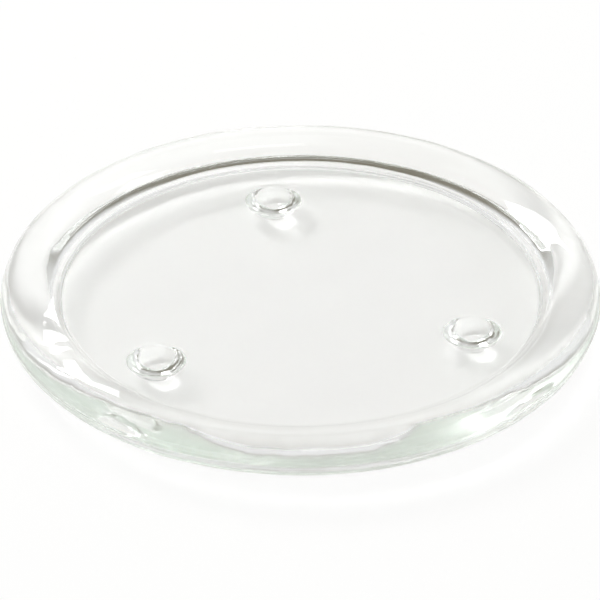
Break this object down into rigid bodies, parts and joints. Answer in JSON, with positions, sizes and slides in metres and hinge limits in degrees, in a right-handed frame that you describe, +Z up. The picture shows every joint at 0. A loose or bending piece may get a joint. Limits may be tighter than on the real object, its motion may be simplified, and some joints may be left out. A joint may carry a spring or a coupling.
{
  "type": "candle plate",
  "caption": "Round clear glass candle plate: a flat floor for a pillar candle, a thick rounded rim around it and small domed feet beneath.",
  "frame": {"origin": "on the table, at the centre of the ring of feet, under the middle of the plate", "axes": "+Z up, out of the floor that the candle stands on; one foot lies towards +Y, the other two towards -X -Y and +X -Y"},
  "size_m": [0.1, 0.1, 0.0103],
  "materials": {
    "clear_glass": "clear, fire-polished"
  },
  "bodies": {
    "root": {"floor_disc": "clear_glass", "rim": "clear_glass", "foot_back": "clear_glass", "foot_left": "clear_glass", "foot_right": "clear_glass"}
  },
  "joints": []
}
